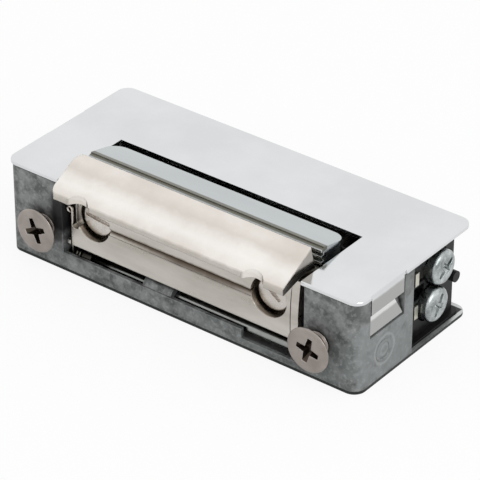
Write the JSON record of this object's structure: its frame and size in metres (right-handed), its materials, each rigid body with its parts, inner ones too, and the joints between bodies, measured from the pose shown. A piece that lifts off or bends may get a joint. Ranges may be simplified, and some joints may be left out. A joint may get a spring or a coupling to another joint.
{
  "type": "electric strike",
  "caption": "Electric strike with a pivoting adjustable lip, die-cast body, plated cover, fixing screws and a terminal block at one end.",
  "frame": {"origin": "centre of the flat base face", "axes": "+X along the length towards the terminal end, -Y towards the front with the lip, +Z away from the base face towards the cover"},
  "size_m": [0.0666, 0.0319, 0.0193],
  "materials": {
    "cast_zinc": "mottled die-cast zinc, matt",
    "bright_plate": "bright plated sheet",
    "warm_nickel": "polished warm nickel",
    "zinc_plated_steel": "bluish zinc plating",
    "nickel_screw": "nickel plated",
    "plated_screw": "bright zinc plating",
    "plain_steel": "plain steel",
    "spring_steel": "spring wire",
    "terminal_metal": "tinned brass",
    "copper_wire": "enamelled copper wire",
    "bobbin_plastic": "natural plastic",
    "black_plastic": "black moulded plastic"
  },
  "bodies": {
    "strike_body": {"housing": "cast_zinc", "base_plate": "bright_plate", "base_screws": "plated_screw", "cover": "bright_plate", "pivot_axle": "plain_steel", "fixing_screw_left": "nickel_screw", "fixing_screw_right": "nickel_screw", "lever_pin": "plain_steel", "lever_spring": "spring_steel", "armature_spring": "spring_steel", "coil_bobbin": "bobbin_plastic", "coil_winding": "copper_wire", "coil_core": "plain_steel", "yoke": "plain_steel", "terminal_block": "black_plastic", "terminal_tag_lower": "terminal_metal", "terminal_tag_upper": "terminal_metal", "terminal_screw_lower": "plated_screw", "terminal_screw_upper": "plated_screw", "insulating_sheet": "black_plastic"},
    "keeper": {"keeper_body": "warm_nickel", "keeper_lip": "warm_nickel", "backing_bar": "zinc_plated_steel", "clamp_screw_left": "nickel_screw", "clamp_screw_right": "nickel_screw", "keeper_spring": "spring_steel"},
    "lever": {"locking_lever": "plain_steel"},
    "armature": {"armature": "plain_steel"}
  },
  "joints": [
    {"name": "keeper_pivot", "type": "hinge", "parent": "strike_body", "child": "keeper", "pos_m": [0, -0.0121, 0.0024], "axis": [1, 0, 0], "range_deg": [0, 45], "stiffness_Nm_per_rad": 0.01, "springref_deg": -28.65, "deforming": ["keeper_spring"]},
    {"name": "lever_pivot", "type": "hinge", "parent": "strike_body", "child": "lever", "pos_m": [-0.0256, 0.003, 0.0088], "axis": [0, 0, 1], "range_deg": [0, 5], "deforming": ["lever_spring"]},
    {"name": "armature_pivot", "type": "hinge", "parent": "strike_body", "child": "armature", "pos_m": [-0.0052, 0.0119, 0.008], "axis": [0, 0, 1], "range_deg": [0, 9], "deforming": ["armature_spring"]}
  ],
  "couplings": [
    {"joint": "lever_pivot", "follows": "keeper_pivot", "ratio": 0.1111},
    {"joint": "armature_pivot", "follows": "keeper_pivot", "ratio": 0.1999}
  ]
}
